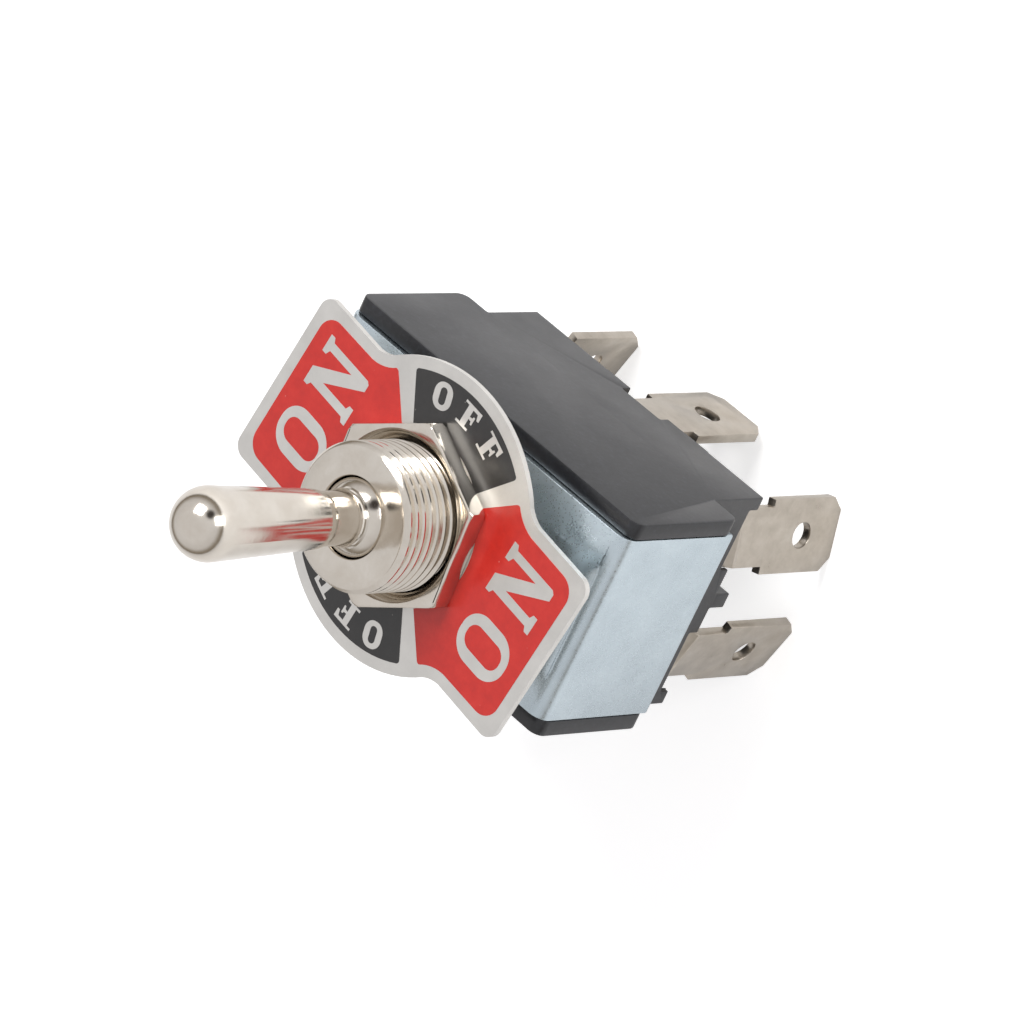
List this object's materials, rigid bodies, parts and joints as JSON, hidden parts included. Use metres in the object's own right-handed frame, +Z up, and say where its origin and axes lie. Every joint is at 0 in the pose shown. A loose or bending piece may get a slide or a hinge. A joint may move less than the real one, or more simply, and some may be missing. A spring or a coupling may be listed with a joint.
{
  "type": "panel toggle switch",
  "caption": "Heavy-duty bat-lever panel toggle switch with a threaded bushing, a red and black ON OFF ON indicator plate and quick-connect tabs.",
  "frame": {"origin": "bottom centre: on the axis of the bushing and the upright lever, level with the tips of the terminals", "axes": "+Z up the bushing and the lever, +X along the housing, the way the lever swings, +Y across the housing towards its marked side"},
  "size_m": [0.0365, 0.0251, 0.0612],
  "materials": {
    "phenolic": "black moulded phenolic, satin",
    "zinc_steel": "clear zinc plated sheet steel, bluish",
    "fibre": "brown vulcanised fibre sheet",
    "nickel": "bright nickel plate",
    "steel": "plain steel",
    "printed_plate": "aluminium plate printed red and black, glossy",
    "nylon": "natural moulded nylon",
    "copper": "rolled copper alloy",
    "silver": "silver contact rivet",
    "tab_nickel": "satin nickel plated brass strip"
  },
  "bodies": {
    "base": {"housing": "phenolic", "bracket": "zinc_steel", "fibre_sheet": "fibre", "bushing": "nickel", "hex_nuts": "nickel", "lock_washer": "steel", "indicator_plate": "printed_plate", "fixed_buttons_a": "silver", "fixed_buttons_b": "silver", "common_terminal_a": "tab_nickel", "common_terminal_b": "tab_nickel", "left_terminal_a": "tab_nickel", "right_terminal_a": "tab_nickel", "left_terminal_b": "tab_nickel", "right_terminal_b": "tab_nickel"},
    "lever": {"lever": "nickel", "pivot_pin": "steel", "drive_block": "nylon", "plunger_a": "nylon", "plunger_b": "nylon", "spring_a": "steel", "spring_b": "steel"},
    "rocker_a": {"rocker_a": "copper", "rocker_buttons_a": "silver"},
    "rocker_b": {"rocker_b": "copper", "rocker_buttons_b": "silver"}
  },
  "joints": [
    {"name": "lever_swing", "type": "hinge", "parent": "base", "child": "lever", "pos_m": [0, 0, 0.04], "axis": [0, 1, 0], "range_deg": [-12, 12]},
    {"name": "rocker_a_tilt", "type": "hinge", "parent": "base", "child": "rocker_a", "pos_m": [0, 0.0049, 0.0176], "axis": [0, 1, 0], "range_deg": [-6, 6]},
    {"name": "rocker_b_tilt", "type": "hinge", "parent": "base", "child": "rocker_b", "pos_m": [0, -0.0049, 0.0176], "axis": [0, 1, 0], "range_deg": [-6, 6]}
  ],
  "couplings": [
    {"joint": "rocker_a_tilt", "follows": "lever_swing", "ratio": -0.5},
    {"joint": "rocker_b_tilt", "follows": "lever_swing", "ratio": -0.5}
  ]
}
